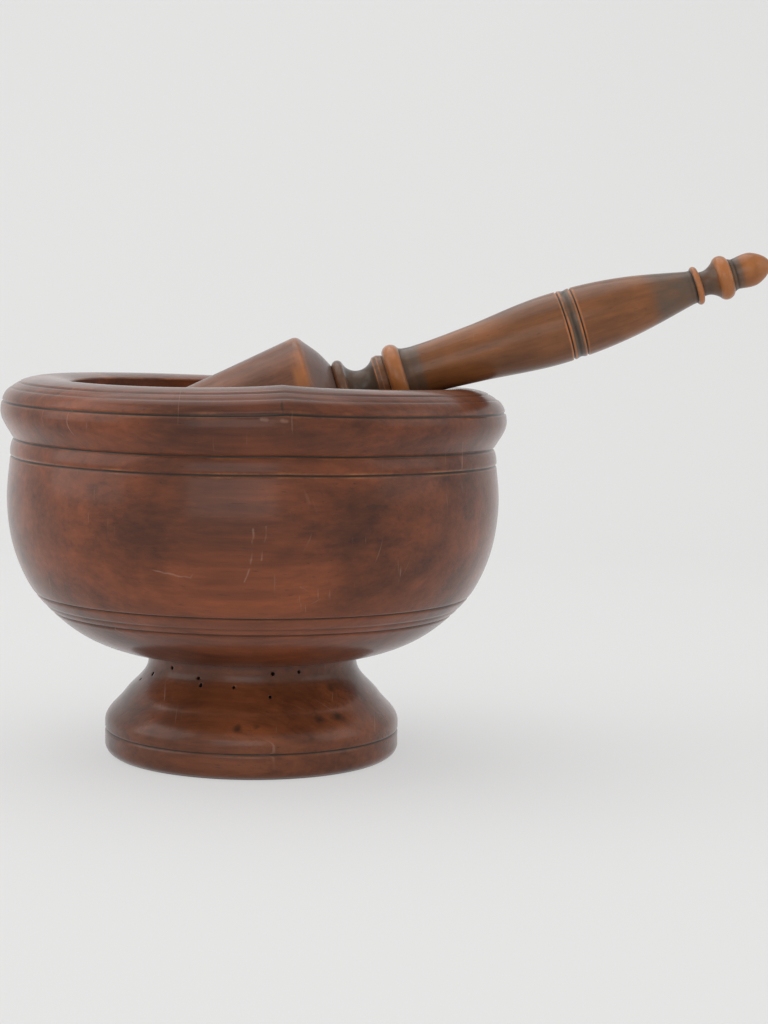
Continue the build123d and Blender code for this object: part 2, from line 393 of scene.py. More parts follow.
def bowl_outline(sizes):
    """From the socket's end, out under the bowl, up the belly and rim, and down into the hollow."""
    belly_height = TOP - 50.5 * MM
    band = TOP - 32.6 * MM
    rim_root = TOP - 25.5 * MM
    edge = 99.5 * MM
    socket = sizes.tenon_radius + GLUE_CLEARANCE
    socket_end = SEAT + sizes.tenon_length + SOCKET_END_GAP
    outline = Outline((socket_end, 0), 3 * MM)
    outline.line((socket_end, socket), (SEAT, socket), (SEAT, sizes.neck_radius + 1 * MM))
    outline.coarse(0.65 * MM)
    outline.curve(
        (SEAT + 1.2 * MM, 54.5 * MM),
        (SEAT + 8.4 * MM, 73.6 * MM),
        (SEAT + 19.3 * MM, 87.4 * MM),
        (SEAT + 26.4 * MM, 93.7 * MM),
        (SEAT + 39.8 * MM, 100.7 * MM),
        (belly_height, sizes.belly_radius),
        (band, 103.9 * MM),
        start=(0.02, 1), end=(1, -0.1),
    )
    outline.arc((TOP - 29 * MM, 103.8 * MM), (rim_root, 102.6 * MM))
    outline.curve(
        (TOP - 14 * MM, RIM),
        (TOP - 6.4 * MM, RIM - 2.2 * MM),
        (crown_height(sizes, edge), edge),
        start=(1, 0.55), end=(0.75, -1),
    )
    outline.arc((TOP, RIM - CROWN_INSET), (crown_height(sizes, sizes.cavity_radius), sizes.cavity_radius))
    centre = TOP - sizes.cavity_drop
    outline.line((centre, sizes.cavity_radius))
    outline.coarse(2 * MM)
    outline.arc(
        (centre - sizes.cavity_radius * sin(pi / 4), sizes.cavity_radius * cos(pi / 4)),
        (centre - sizes.cavity_radius, 0),
    )
    # turned lines, from the rim's top down: place, radius, depth and width
    for place, radius, depth, width in (
        (TOP - 2.1 * MM, 100.3 * MM, 0.35 * MM, 0.9 * MM),
        (TOP - 4.0 * MM, 103.3 * MM, 0.30 * MM, 1.0 * MM),
        (TOP - 10.0 * MM, RIM - 1.0 * MM, 0.95 * MM, 1.5 * MM),
        (rim_root, 102.6 * MM, 0.7 * MM, 1.3 * MM),
        (band, 103.9 * MM, 0.9 * MM, 1.4 * MM),
        (TOP - 89.2 * MM, 93.3 * MM, 0.9 * MM, 1.4 * MM),
        (TOP - 94.4 * MM, 89.2 * MM, 0.3 * MM, 1.0 * MM),
        (TOP - 97.2 * MM, 86.4 * MM, 0.9 * MM, 1.4 * MM),
    ):
        outline.cut((place, radius), depth, width)
    return outline


def rim_warp(sizes):
    """Moves a bowl point: the rim has dried to a tilted saddle, with a peak beside its crack."""
    fades_from, fades_over = TOP - 70 * MM, 60 * MM
    mean_rise, peak_width, peak_depth = 0.7 * MM, radians(16), 28 * MM

    def shape(along, radius, angle):
        share = min(max((along - fades_from) / fades_over, 0), 1)
        share = share * share * (3 - 2 * share)
        away = abs((angle - sizes.peak_at + pi) % (2 * pi) - pi)
        lift = mean_rise + sizes.tilt * cos(angle - sizes.tilt_towards)
        lift += sizes.saddle * cos(2 * (angle - sizes.saddle_towards))
        peak = sizes.peak * exp(-away / peak_width) * exp(-(TOP - along) / peak_depth)
        rough = 0.12 * MM * noise.noise(Vector((cos(angle) * 3, sin(angle) * 3, along * 40)))
        radius *= 1 + 0.002 * cos(2 * angle + 1.0)
        return along + share * (lift + peak), radius + (rough if radius > 0 else 0)

    return shape


def foot_outline(sizes):
    """From the middle of the underside, up the bead, flare and neck, to the tenon's end."""
    base, tenon_end = FOOT_BOX[1].x, SEAT + sizes.tenon_length
    outline = Outline((0, 0), 3 * MM)
    outline.line((0, base - 5.6 * MM))
    outline.coarse(0.55 * MM)
    outline.arc((1.9 * MM, base - 1.2 * MM), (4.6 * MM, base))
    outline.line((14.5 * MM, base))
    outline.curve((26.4 * MM, 55.4 * MM), (SEAT - 4 * MM, sizes.neck_radius), start=(1, 0), end=(1, 0))
    outline.line((SEAT, sizes.neck_radius))
    outline.coarse(3 * MM)
    outline.line((SEAT, sizes.tenon_radius), (tenon_end, sizes.tenon_radius), (tenon_end, 0))
    outline.cut((11 * MM, base), 0.9 * MM, 1.5 * MM)
    outline.cut((0.9 * MM, base - 2.6 * MM), 0.2 * MM, 0.8 * MM)
    return outline


def foot_shape(along, radius, angle):
    """Moves a foot point: slightly oval and uneven."""
    rough = 0.10 * MM * noise.noise(Vector((cos(angle) * 4, sin(angle) * 4, along * 60)))
    return along, radius * (1 - 0.003 * (1 - cos(2 * angle + 0.6))) + (rough if radius > 0 else 0)


def head_outline(sizes):
    """From the nose, up the taper, over the shoulder, to the handle's socket."""
    nose, length, shoulder = sizes.nose_radius, sizes.head_length, sizes.shoulder_length
    centre = nose - length
    taper = (sizes.head_radius - nose) / (-shoulder - centre)
    socket, socket_end = sizes.tenon_radius + GLUE_CLEARANCE, -sizes.tenon_length - SOCKET_END_GAP
    start = (centre - nose * taper, nose * sqrt(1 - taper**2))
    outline = Outline((-length, 0), 0.8 * MM)
    part_way = 0.72
    outline.arc((centre - nose * part_way, nose * sqrt(1 - part_way**2)), start)
    outline.line((-shoulder - 2.6 * MM, sizes.head_radius - 0.35 * MM))
    outline.coarse(0.3 * MM)
    outline.curve(
        (-shoulder - 0.3 * MM, sizes.head_radius - 0.7 * MM), (-shoulder + 1.7 * MM, 26.6 * MM),
        start=(1, 0.13), end=(1, -1.6),
    )
    outline.coarse(0.6 * MM)
    outline.curve((-3.6 * MM, 19.8 * MM), (0, 13.0 * MM), start=(1, -1.3), end=(1, -2.0))
    outline.coarse(3 * MM)
    outline.line((0, socket), (socket_end, socket), (socket_end, 0))
    return outline


def head_shape(along, radius, angle):
    """Moves a head point: pounding has left it uneven, most of all towards the nose."""
    dent = 0.35 * MM * noise.noise(Vector((cos(angle) * 1.6, sin(angle) * 1.6, along * 30)))
    fade = min(max((-along - 8 * MM) / (60 * MM), 0.15), 1)
    return along, radius + (dent * fade if radius > 0 else 0)


def handle_outline(sizes):
    """Tenon, collar, cove, bead, waist, swelling grip, wrist ring, finial bead and knob."""
    outline = Outline((-sizes.tenon_length, 0), 3 * MM)
    outline.line((-sizes.tenon_length, sizes.tenon_radius), (0, sizes.tenon_radius))
    outline.coarse(0.32 * MM)
    outline.line((0, 12.4 * MM))
    outline.arc((3.4 * MM, 14.4 * MM), (4.8 * MM, 12.8 * MM))
    outline.arc((10.2 * MM, 7.8 * MM), (17.4 * MM, 11.2 * MM))
    outline.line((19.4 * MM, 11.7 * MM), (22.0 * MM, 11.0 * MM))
    outline.arc((26 * MM, 14.4 * MM), (29.5 * MM, 12.0 * MM))
    outline.curve((33 * MM, 11.1 * MM), (37 * MM, 11 * MM), start=(1, -0.8), end=(1, 0))
    outline.coarse(0.5 * MM)
    outline.curve(
        (60 * MM, 12.2 * MM), (96 * MM, sizes.grip_radius), (128 * MM, 13.1 * MM), (156.5 * MM, 7.3 * MM),
        start=(1, 0), end=(1, -0.22),
    )
    outline.coarse(0.28 * MM)
    outline.line((158.4 * MM, 7.1 * MM))
    outline.arc((159.6 * MM, 8.4 * MM), (160.8 * MM, 5.9 * MM))
    outline.curve((163.4 * MM, 5.3 * MM), (168.4 * MM, 7.8 * MM), start=(1, -0.8), end=(1, 0.9))
    outline.arc((171.6 * MM, 9.6 * MM), (174.8 * MM, 7.4 * MM))
    outline.line((176.6 * MM, 6.6 * MM))
    outline.curve((185.6 * MM, 6.9 * MM), (192.5 * MM, 0), start=(1, 0.1), end=(0, -1))
    # the band's two lines with a shallow hollow between them, and the line before the bead
    for place, radius, depth, width in (
        (100.9 * MM, 15.2 * MM, 0.9 * MM, 1.3 * MM),
        (104.0 * MM, 15.1 * MM, 0.55 * MM, 3.4 * MM),
        (107.2 * MM, 15.0 * MM, 0.9 * MM, 1.3 * MM),
        (22.0 * MM, 11.0 * MM, 0.35 * MM, 0.8 * MM),
    ):
        outline.cut((place, radius), depth, width)
    return outline


def handle_shape(along, radius, angle):
    """Moves a handle point: slightly oval and worn."""
    rough = 0.16 * MM * noise.noise(Vector((cos(angle) * 1.5, sin(angle) * 1.5, along * 35)))
    return along, radius * (1 - 0.006 * (1 - cos(2 * angle))) + (rough if radius > 0 else 0)


def pestle_place(sizes):
    """The pestle's own frame: X along its axis from the joint, leaning up towards the handle."""
    length, radius = sizes.tenon_length, sizes.tenon_radius
    tenon_left = -length * cos(PESTLE_LEAN) - radius * sin(PESTLE_LEAN)
    tenon_bottom = -length * sin(PESTLE_LEAN) - radius * cos(PESTLE_LEAN)
    joint = (HANDLE_BOX[0].x - tenon_left, 0, HANDLE_BOX[0].z - tenon_bottom)
    return Matrix.Translation(joint) @ Matrix.Rotation(-PESTLE_LEAN, 4, "Y")


# ------------------------------------------------------------------ shader helpers
class Nodes:
    """Short ways to add and wire nodes in one tree."""

    def __init__(self, tree):
        self.tree = tree

    def add(self, kind, inputs=None, **settings):
        """A new node of this kind, with its settings made and its inputs fed."""
        node = self.tree.nodes.new(kind)
        for key, value in settings.items():
            setattr(node, key, value)
        for key, value in (inputs or {}).items():
            self.feed(node.inputs[key], value)
        return node

    def feed(self, socket, value):
        """Links the socket to another node's, or sets it to a plain value."""
        if isinstance(value, bpy.types.NodeSocket):
            self.tree.links.new(value, socket)
        else:
            socket.default_value = value

    def maths(self, operation, a, b=None, clamp=False):
        """One sum on one or two numbers."""
        node = self.add("ShaderNodeMath", {0: a}, operation=operation, use_clamp=clamp)
        if b is not None:
            self.feed(node.inputs[1], b)
        return node.outputs[0]

    def span(self, value, low, high, to_low=0.0, to_high=1.0):
        """The value with low to high laid over to_low to to_high, and clamped there."""
        node = self.add("ShaderNodeMapRange", {0: value, 1: low, 2: high, 3: to_low, 4: to_high})
        return node.outputs[0]

    def noise(self, vector, scale, detail=4.0, roughness=0.55, distortion=0.0):
        """Smooth noise, mostly between 0.3 and 0.7."""
        node = self.add("ShaderNodeTexNoise", {
            "Vector": vector, "Scale": scale, "Detail": detail, "Roughness": roughness,
            "Distortion": distortion,
        })
        return node.outputs[0]

    def stretch(self, vector, scale, rotation=(0, 0, 0)):
        """The vector, scaled and turned."""
        node = self.add("ShaderNodeMapping", {"Vector": vector, "Scale": scale, "Rotation": rotation})
        return node.outputs[0]

    def mix(self, factor, a, b, blend="MIX"):
        """Colour a at a factor of 0, and b laid over it at 1."""
        node = self.add("ShaderNodeMix", data_type="RGBA", blend_type=blend)
        for socket, value in zip((node.inputs[0], node.inputs[6], node.inputs[7]), (factor, a, b)):
            self.feed(socket, value)
        return node.outputs[2]

    def group(self, key, **inputs):
        """One of the shared groups, with its sockets fed; underscores in a name stand for spaces."""
        node = self.add("ShaderNodeGroup", node_tree=groups()[key])
        for name, value in inputs.items():
            self.feed(node.inputs[name.replace("_", " ")], value)
        return node.outputs

    def vector(self, operation, a, b):
        """One sum on two vectors, or on a vector and a number."""
        node = self.add("ShaderNodeVectorMath", {0: a}, operation=operation)
        self.feed(node.inputs[3 if operation == "SCALE" else 1], b)
        return node.outputs["Value" if operation in ("DOT_PRODUCT", "DISTANCE") else "Vector"]

    def shaken(self, vector, scale, detail, distance):
        """The vector, moved about by noise."""
        wander = self.add("ShaderNodeTexNoise", {"Vector": vector, "Scale": scale, "Detail": detail})
        wander = self.vector("SUBTRACT", wander.outputs["Color"], (0.5, 0.5, 0.5))
        return self.vector("ADD", vector, self.vector("SCALE", wander, distance))

    def highest(self, values):
        """The largest of some values."""
        total = None
        for value in values:
            total = value if total is None else self.maths("MAXIMUM", total, value)
        return total

    def strokes(self, place, lines):
        """1 on any (start, end, width) line, 0 away from them all."""
        return self.highest(
            self.group("stroke", Vector=place, From=start, To=end, Width=width)["Mark"]
            for start, end, width in lines
        )

    def near(self, value, *zones):
        """1 in the middle of any (place, half width) zone, falling to 0 at its ends."""
        here = []
        for middle, reach in zones:
            away = self.maths("ABSOLUTE", self.maths("SUBTRACT", value, middle))
            here.append(self.span(away, reach, reach * 0.55))
        return self.highest(here)

    def mark(self, name):
        """One of the marks that turn() puts on a mesh."""
        return self.add("ShaderNodeAttribute", attribute_name=name).outputs["Fac"]


def new_group(name, inputs, outputs):
    """An empty shader group with named sockets: {name: (kind, default)}."""
    tree = bpy.data.node_groups.new(name, "ShaderNodeTree")
    for socket_name, (kind, default) in inputs.items():
        socket = tree.interface.new_socket(socket_name, in_out="INPUT", socket_type=kind)
        if default is not None:
            socket.default_value = default
    for socket_name, kind in outputs.items():
        tree.interface.new_socket(socket_name, in_out="OUTPUT", socket_type=kind)
    nodes = Nodes(tree)
    return nodes, nodes.add("NodeGroupInput").outputs, nodes.add("NodeGroupOutput").inputs


def grain_group():
    """Fine wood grain with its fibres along X: broad bands, fine streaks, pores and blotches."""
    nodes, given, out = new_group(
        "wood_grain",
        {"Vector": (VECTOR, None), "Streak Length": (FLOAT, 1.0)},
        {"Bands": FLOAT, "Streaks": FLOAT, "Pores": FLOAT, "Blotches": FLOAT},
    )
    along = nodes.add("ShaderNodeCombineXYZ", {0: given["Streak Length"], 1: 1.0, 2: 1.0}).outputs[0]
    fibres = nodes.vector("MULTIPLY", given["Vector"], along)
    bands = nodes.noise(nodes.stretch(fibres, (5, 42, 42)), 1.0, 3.0, 0.5, 0.6)
    fine = nodes.noise(nodes.stretch(fibres, (26, 520, 520)), 1.0, 5.0, 0.62, 0.2)
    middle = nodes.noise(nodes.stretch(fibres, (13, 170, 170)), 1.0, 4.0, 0.6, 0.4)
    pores = nodes.noise(nodes.stretch(fibres, (120, 1500, 1500)), 1.0, 2.0, 0.5)
    blotches = nodes.noise(given["Vector"], 19.0, 5.0, 0.6, 0.3)
    nodes.feed(out["Bands"], nodes.span(bands, 0.33, 0.68))
    streaks = nodes.maths("ADD", nodes.maths("MULTIPLY", fine, 0.45), nodes.maths("MULTIPLY", middle, 0.55))
    nodes.feed(out["Streaks"], nodes.span(streaks, 0.36, 0.64))
    nodes.feed(out["Pores"], nodes.span(pores, 0.66, 0.76))
    nodes.feed(out["Blotches"], nodes.span(blotches, 0.35, 0.66))
    return nodes.tree


def patina_group():
    """Lays rubbed arrises and grimy hollows over a wood colour, broken up unevenly."""
    nodes, given, out = new_group(
        "old_wax_patina",
        {
            "Vector": (VECTOR, None),
            "Wood": (COLOR, (0.1, 0.04, 0.02, 1)),
            "Worn Colour": (COLOR, (0.4, 0.15, 0.05, 1)),
            "Grime Colour": (COLOR, (0.02, 0.015, 0.01, 1)),
            "Hollow": (FLOAT, 0.0),
            "Worn": (FLOAT, 0.0),
            "Grime Amount": (FLOAT, 1.0),
            "Wear Amount": (FLOAT, 1.0),
        },
        {"Colour": COLOR, "Grime": FLOAT, "Wear": FLOAT},
    )
    patches = nodes.noise(given["Vector"], 55.0, 4.0, 0.6)
    specks = nodes.noise(given["Vector"], 260.0, 3.0, 0.6)
    uneven = nodes.span(patches, 0.35, 0.62, 0.25, 1.1)
    wear = nodes.maths("MULTIPLY", given["Worn"], given["Wear Amount"])
    wear = nodes.maths("MULTIPLY", wear, uneven, True)
    broken = nodes.span(nodes.maths("ADD", wear, nodes.maths("MULTIPLY", specks, 0.35)), 0.32, 0.75)
    wear = nodes.maths("MULTIPLY", wear, broken, True)
    dirt = nodes.span(patches, 0.30, 0.60, 0.75, 1.25)
    grime = nodes.maths("MULTIPLY", given["Hollow"], given["Grime Amount"])
    grime = nodes.maths("MULTIPLY", grime, dirt, True)
    rubbed = nodes.mix(wear, given["Wood"], given["Worn Colour"])
    nodes.feed(out["Colour"], nodes.mix(grime, rubbed, given["Grime Colour"]))
    nodes.feed(out["Grime"], grime)
    nodes.feed(out["Wear"], wear)
    return nodes.tree


def handling_group():
    """Hair-fine scuffs in several directions, and the faint ripple that the turning tool left."""
    nodes, given, out = new_group(
        "handling_marks",
        {"Vector": (VECTOR, None), "Along": (FLOAT, 0.0)},
        {"Scuffs": FLOAT, "Ripple": FLOAT},
    )
    scuffs = []
    for turn_angle, scale in ((0.4, (9, 900, 40)), (1.7, (700, 14, 60)), (2.6, (40, 800, 12))):
        lines = nodes.stretch(given["Vector"], scale, (0.3, turn_angle, turn_angle))
        scuffs.append(nodes.span(nodes.noise(lines, 1.0, 2.0, 0.5), 0.70, 0.76))
    where = nodes.span(nodes.noise(given["Vector"], 24.0, 3.0), 0.48, 0.66)
    nodes.feed(out["Scuffs"], nodes.maths("MULTIPLY", nodes.highest(scuffs), where))
    place = nodes.add("ShaderNodeCombineXYZ", {0: given["Along"]}).outputs[0]
    ripple = nodes.noise(nodes.stretch(place, (650, 1, 1)), 1.0, 3.0, 0.6)
    nodes.feed(out["Ripple"], ripple)
    return nodes.tree


def stroke_group():
    """One scratch: how near a point lies to the line between two ends."""
    nodes, given, out = new_group(
        "single_scratch",
        {"Vector": (VECTOR, None), "From": (VECTOR, None), "To": (VECTOR, None), "Width": (FLOAT, 0.0005)},
        {"Mark": FLOAT},
    )
    point = nodes.shaken(given["Vector"], 160.0, 2.0, 2.2 * MM)
    reach = nodes.vector("SUBTRACT", point, given["From"])
    run = nodes.vector("SUBTRACT", given["To"], given["From"])
    ahead, square = nodes.vector("DOT_PRODUCT", reach, run), nodes.vector("DOT_PRODUCT", run, run)
    share = nodes.maths("DIVIDE", ahead, square, True)
    gap = nodes.vector("DISTANCE", reach, nodes.vector("SCALE", run, share))
    nodes.feed(out["Mark"], nodes.span(gap, given["Width"], 0.0))
    return nodes.tree


GROUPS = {}


def groups():
    """The shared shader groups, each built once."""
    if not GROUPS:
        GROUPS.update(grain=grain_group(), patina=patina_group())
        GROUPS.update(handling=handling_group(), stroke=stroke_group())
    return GROUPS


def wood(name, dark, light, fibre_turn, patina, roughness, coat, extra, streak_length=1.0, scratches=()):
    """Old waxed wood: stained grain under wear, grime and scratches.

    patina is (grime amount, wear amount), and extra(nodes, colour, place) adds a piece's own marks.
    """
    finish = bpy.context.scene.mortar_finish
    grime, worn = (*finish.grime, 1), (*finish.worn, 1)
    material = bpy.data.materials.new(name)
    material.use_nodes = True
    nodes = Nodes(material.node_tree)
    nodes.tree.nodes.clear()
    place = nodes.add("ShaderNodeTexCoord").outputs["Object"]
    fibres = nodes.stretch(place, (1, 1, 1), fibre_turn)

    # stained grain, clouded by blotches, with dark pores
    grain = nodes.group("grain", Vector=fibres, Streak_Length=streak_length)
    tone = nodes.maths("MULTIPLY", nodes.maths("ADD", grain["Bands"], grain["Streaks"]), 0.5)
    colour = nodes.mix(tone, (*dark, 1), (*light, 1))
    shade = nodes.span(grain["Blotches"], 0, 1, 0.62, 1.15)
    shade = nodes.add("ShaderNodeCombineXYZ", {0: shade, 1: shade, 2: shade}).outputs[0]
    colour = nodes.mix(1.0, colour, shade, "MULTIPLY")
    colour = nodes.mix(nodes.maths("MULTIPLY", grain["Pores"], 0.55), colour, grime)
    colour = extra(nodes, colour, place)

    # rubbed arrises and grimy hollows, then scratches
    grime_amount, wear_amount = patina
    laid = nodes.group(
        "patina", Vector=place, Wood=colour, Worn_Colour=worn, Grime_Colour=grime,
        Hollow=nodes.mark("hollow"), Worn=nodes.mark("worn"),
        Grime_Amount=grime_amount, Wear_Amount=wear_amount,
    )
    marks = nodes.group("handling", Vector=place, Along=nodes.mark("along"))
    scratched = marks["Scuffs"]
    if scratches:
        scratched = nodes.maths("MAXIMUM", scratched, nodes.strokes(place, scratches))
    scratch_dust = (0.33, 0.20, 0.15, 1)
    scuffed = nodes.mix(nodes.maths("MULTIPLY", scratched, 0.40), laid["Colour"], scratch_dust)

    # dull grime and scratches in the wax, and a faint relief of grain and turning ripple
    rough = nodes.span(grain["Blotches"], 0, 1, roughness + 0.07, roughness - 0.05)
    rough = nodes.maths("ADD", rough, nodes.maths("MULTIPLY", laid["Grime"], 0.28))
    rough = nodes.maths("ADD", rough, nodes.maths("MULTIPLY", scratched, 0.18), True)
    relief = nodes.maths("MULTIPLY", grain["Streaks"], 0.30)
    parts = ((marks["Ripple"], 0.55), (grain["Blotches"], 0.25), (grain["Pores"], -0.5), (scratched, -0.8))
    for height, share in parts:
        relief = nodes.maths("ADD", relief, nodes.maths("MULTIPLY", height, share))
    bump = nodes.add("ShaderNodeBump", {"Height": relief, "Strength": 0.32, "Distance": 0.35 * MM})
    shader = nodes.add("ShaderNodeBsdfPrincipled", {
        "Base Color": scuffed, "Roughness": rough, "Normal": bump.outputs[0], "Specular IOR Level": 0.2,
        "Coat Weight": coat, "Coat Roughness": 0.16, "Coat IOR": 1.27,
    })
    nodes.add("ShaderNodeOutputMaterial", {"Surface": shader.outputs[0]})
    return material


def bowl_details(nodes, colour, place):
    """The dark crack in the rim, and dark flecks along the grain."""
    finish = bpy.context.scene.mortar_finish
    dark = nodes.strokes(place, (
        (polar(-81.2, 157.5, 104), polar(-80.7, 152.5, 107.5), 0.7 * MM),
        (polar(-80.7, 152.5, 107.5), polar(-80.9, 149.5, 107), 0.5 * MM),
        (polar(-62, 116, 105), polar(-57, 115.5, 105), 0.8 * MM),
        (polar(-131, 70, 91), polar(-124, 69.4, 91), 0.9 * MM),
        (polar(-118, 60, 81), polar(-111, 59.6, 81), 0.9 * MM),
    ))
    return nodes.mix(nodes.maths("MULTIPLY", dark, 0.8), colour, (*finish.grime, 1))


def foot_details(nodes, colour, place):
    """A dark knot and the stains beside it."""
    finish = bpy.context.scene.mortar_finish
    point = nodes.shaken(place, 90.0, 3.0, 8 * MM)
    stains = []
    for middle, size in (
        (polar(-47.6, 24.4, 56.9), 4.2 * MM),
        (polar(-44.1, 33.3, 48.3), 3.6 * MM),
        (polar(-57, 23.8, 57.1), 3.2 * MM),
        (polar(-93, 20.5, 60), 2.8 * MM),
        (polar(-85, 22.2, 59), 2.0 * MM),
    ):
        stains.append(nodes.span(nodes.vector("DISTANCE", point, middle), size, size * 0.2))
    return nodes.mix(nodes.maths("MULTIPLY", nodes.highest(stains), 0.75), colour, (*finish.grime, 1))


def head_details(nodes, colour, place):
    """A rubbed orange edge at the shoulder, and a painted sheen, a pale lavender painted reflection, on the
    slope behind it.
    """
    finish = bpy.context.scene.mortar_finish
    along = nodes.mark("along")
    patch = nodes.span(nodes.noise(place, 60.0, 3.0), 0.35, 0.6)
    edge = nodes.maths("MULTIPLY", nodes.near(along, (-11.8 * MM, 4.5 * MM)), patch)
    edge = nodes.maths("MULTIPLY", edge, 0.75)
    colour = nodes.mix(edge, colour, (*finish.polish, 1))
    # painted sheen: a pale lavender reflection painted on the sloping shoulder behind the edge
    slope = nodes.maths("MULTIPLY", nodes.near(along, (-3.5 * MM, 7 * MM)), 0.55)
    return nodes.mix(slope, colour, (*finish.painted_sheen, 1))


def handle_details(nodes, colour, place):
    """Polished beads and knob, dull coves and band, and orange patches on the grip."""
    finish = bpy.context.scene.mortar_finish
    along = nodes.mark("along")
    patch = nodes.span(nodes.noise(place, 26.0, 3.0), 0.44, 0.62)
    swell = nodes.near(along, (45 * MM, 30 * MM), (118 * MM, 30 * MM))
    rubbed = nodes.maths("MULTIPLY", nodes.maths("MULTIPLY", patch, swell), 0.40)
    colour = nodes.mix(rubbed, colour, (*finish.polish, 1))
    uneven = nodes.span(nodes.noise(place, 110.0, 3.0), 0.30, 0.62, 0.55, 1.0)
    beads = nodes.near(
        along, (26.2 * MM, 4.6 * MM), (159.6 * MM, 1.6 * MM), (171.6 * MM, 4.6 * MM), (187.2 * MM, 9.5 * MM)
    )
    colour = nodes.mix(nodes.maths("MULTIPLY", beads, uneven), colour, (*finish.polish, 1))
    dull = nodes.near(
        along, (11 * MM, 10.5 * MM), (33.5 * MM, 5 * MM), (103.5 * MM, 4.2 * MM), (150 * MM, 13 * MM),
        (164.5 * MM, 5 * MM), (176.9 * MM, 3 * MM),
    )
    dull = nodes.maths("MULTIPLY", nodes.maths("MULTIPLY", dull, uneven), 0.72)
    return nodes.mix(dull, colour, (*finish.verdigris, 1))


def drill(piece, holes, radius, depth):
    """Beetle flight holes bored square to the axis, with walls that carry their own material, painted near
    black as shade inside the holes.
    """
    cutter_mesh = bpy.data.meshes.new("beetle_bits")
    bits = bmesh.new()
    for index, (angle, height, wall) in enumerate(holes):
        inward = Matrix.Translation(polar(angle, height, wall)) @ Matrix.Rotation(radians(angle), 4, "Z")
        inward = inward @ Matrix.Rotation(pi / 2, 4, "Y")
        size = radius * (1.0 + 0.18 * sin(index * 2.4))
        bmesh.ops.create_cone(
            bits, cap_ends=True, segments=14, radius1=size, radius2=size, depth=2 * depth, matrix=inward
        )
    bits.to_mesh(cutter_mesh)
    bits.free()
    # the holes' walls: painted shade, near black, laid over the shade that the bored holes already cast
    dark = bpy.data.materials.new("hole_wall_painted_shade")
    dark.use_nodes = True
    nodes = Nodes(dark.node_tree)
    shader = nodes.tree.nodes["Principled BSDF"]
    place = nodes.add("ShaderNodeTexCoord").outputs["Object"]
    hole_shade_speckle = nodes.noise(place, 1800.0, 3.0)
    hole_shade_colour = nodes.mix(hole_shade_speckle, (0.006, 0.003, 0.002, 1), (0.020, 0.011, 0.007, 1))
    nodes.feed(shader.inputs["Base Color"], hole_shade_colour)
    shader.inputs["Roughness"].default_value = 0.9
    cutter_mesh.materials.append(dark)
    cutter = bpy.data.objects.new("beetle_bits", cutter_mesh)
    bpy.context.scene.collection.objects.link(cutter)
    bore = piece.modifiers.new("bore", "BOOLEAN")
    bore.operation, bore.solver, bore.object, bore.material_mode = "DIFFERENCE", "EXACT", cutter, "TRANSFER"
    drilled = bpy.data.meshes.new_from_object(piece.evaluated_get(bpy.context.evaluated_depsgraph_get()))
    piece.modifiers.clear()
    piece.data = drilled
    bpy.data.objects.remove(cutter)
    bpy.data.meshes.remove(cutter_mesh)


def finish_piece(piece, body, node, material):
    """Gives a turned piece its material and its body, and hides the node it stands in for."""
    piece.data.materials.append(material)
    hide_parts(node)
    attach(piece, body)


def polar(degrees, height, radius):
    """A point on the mortar's wall, from its angle in degrees and its height and radius in millimetres."""
    return (radius * MM * cos(radians(degrees)), radius * MM * sin(radians(degrees)), height * MM)


# ------------------------------------------------------------------ operators
class MORTAR_OT_bowl(Operator):
    """Turn the bowl with its moulded, dried-out rim and round hollow"""
    bl_idname = "mortar.bowl"
    bl_label = "Bowl"

    def execute(self, context):
        sizes, finish = context.scene.mortar_sizes, context.scene.mortar_finish
        piece = turn("bowl", bowl_outline(sizes), sizes.around, UPRIGHT, rim_warp(sizes))
        scratches = (
            (polar(-86.5, 107.5, 105), polar(-87, 93, 103.4), 0.6 * MM),
            (polar(-84, 108.5, 105), polar(-84.6, 95, 103.6), 0.5 * MM),
            (polar(-87.1, 92.5, 103.3), polar(-88.2, 86.5, 101.5), 0.5 * MM),
            (polar(-109, 90.5, 102.7), polar(-100, 87.5, 101.9), 0.5 * MM),
            (polar(-100, 87.5, 101.9), polar(-98.8, 90, 102.6), 0.5 * MM),
            (polar(-76, 85, 101), polar(-74, 82.5, 100.2), 0.5 * MM),
            (polar(-84.9, 149.2, 107.4), polar(-84, 148.8, 107.4), 1.1 * MM),
            (polar(-80.9, 149, 107.4), polar(-80.1, 148.6, 107.4), 1.1 * MM),
        )
        material = wood(
            "waxed_bowl_wood", finish.bowl_dark, finish.bowl_light, (0, 0, 0), (1.0, 0.55),
            roughness=0.36, coat=0.75, extra=bowl_details, scratches=scratches,
        )
        finish_piece(piece, "mortar", "mortar_bowl", material)
        return {"FINISHED"}


class MORTAR_OT_foot(Operator):
    """Turn the flared foot and drill its old beetle holes"""
    bl_idname = "mortar.foot"
    bl_label = "Foot"

    def execute(self, context):
        sizes, finish = context.scene.mortar_sizes, context.scene.mortar_finish
        piece = turn("foot", foot_outline(sizes), sizes.foot_around, UPRIGHT, foot_shape)
        material = wood(
            "waxed_foot_wood", finish.foot_dark, finish.foot_light, (0, 0, radians(12)), (1.0, 0.5),
            roughness=0.30, coat=0.70, extra=foot_details,
        )
        finish_piece(piece, "mortar", "mortar_foot", material)
        # beetle holes: angle in degrees, height and wall radius in millimetres
        holes = (
            (-116.0, 38.6, 46.0), (-113.7, 36.0, 47.2), (-95.8, 35.9, 47.3),
            (-75.6, 41.4, 45.2), (-61.1, 41.7, 45.1), (-77.8, 32.5, 48.8),
            (-152.5, 36.8, 46.9), (-164.2, 33.1, 48.4), (-134.7, 41.3, 45.2),
            (34.0, 34.0, 48.0), (58.0, 38.5, 46.0), (121.0, 30.0, 50.5),
        )
        drill(piece, holes, sizes.hole_radius, 3 * MM)
        return {"FINISHED"}


